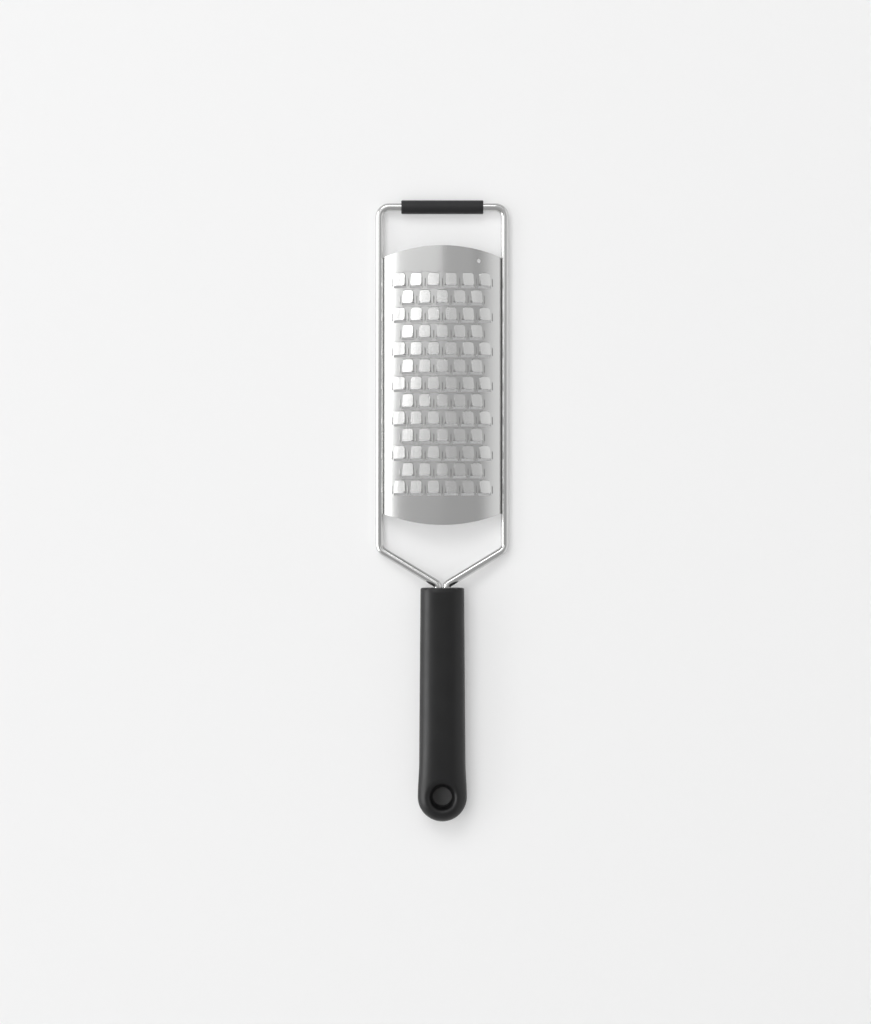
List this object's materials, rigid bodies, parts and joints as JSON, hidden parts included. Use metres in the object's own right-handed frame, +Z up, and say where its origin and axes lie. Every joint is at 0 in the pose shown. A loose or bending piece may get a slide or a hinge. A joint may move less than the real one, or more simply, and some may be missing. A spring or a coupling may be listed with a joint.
{
  "type": "coarse hand grater",
  "caption": "Coarse hand grater: arched steel blade of raised hooded teeth in a bent wire frame, rubber sleeve on the tip, black handle with a hanging hole.",
  "frame": {"origin": "on the resting plane, under the middle of the tool's length and width", "axes": "+Y along the tool from handle to tip, +X across it, +Z up, with the teeth on top"},
  "size_m": [0.0666, 0.31, 0.018],
  "materials": {
    "wire_steel": "drawn stainless wire, satin bright",
    "blade_steel": "rolled stainless sheet, satin",
    "sleeve_rubber": "matt black rubber",
    "handle_plastic": "fine-grained matt black"
  },
  "bodies": {
    "root": {"frame_wire": "wire_steel", "grater_blade": "blade_steel", "tip_sleeve": "sleeve_rubber", "handle": "handle_plastic"}
  },
  "joints": []
}
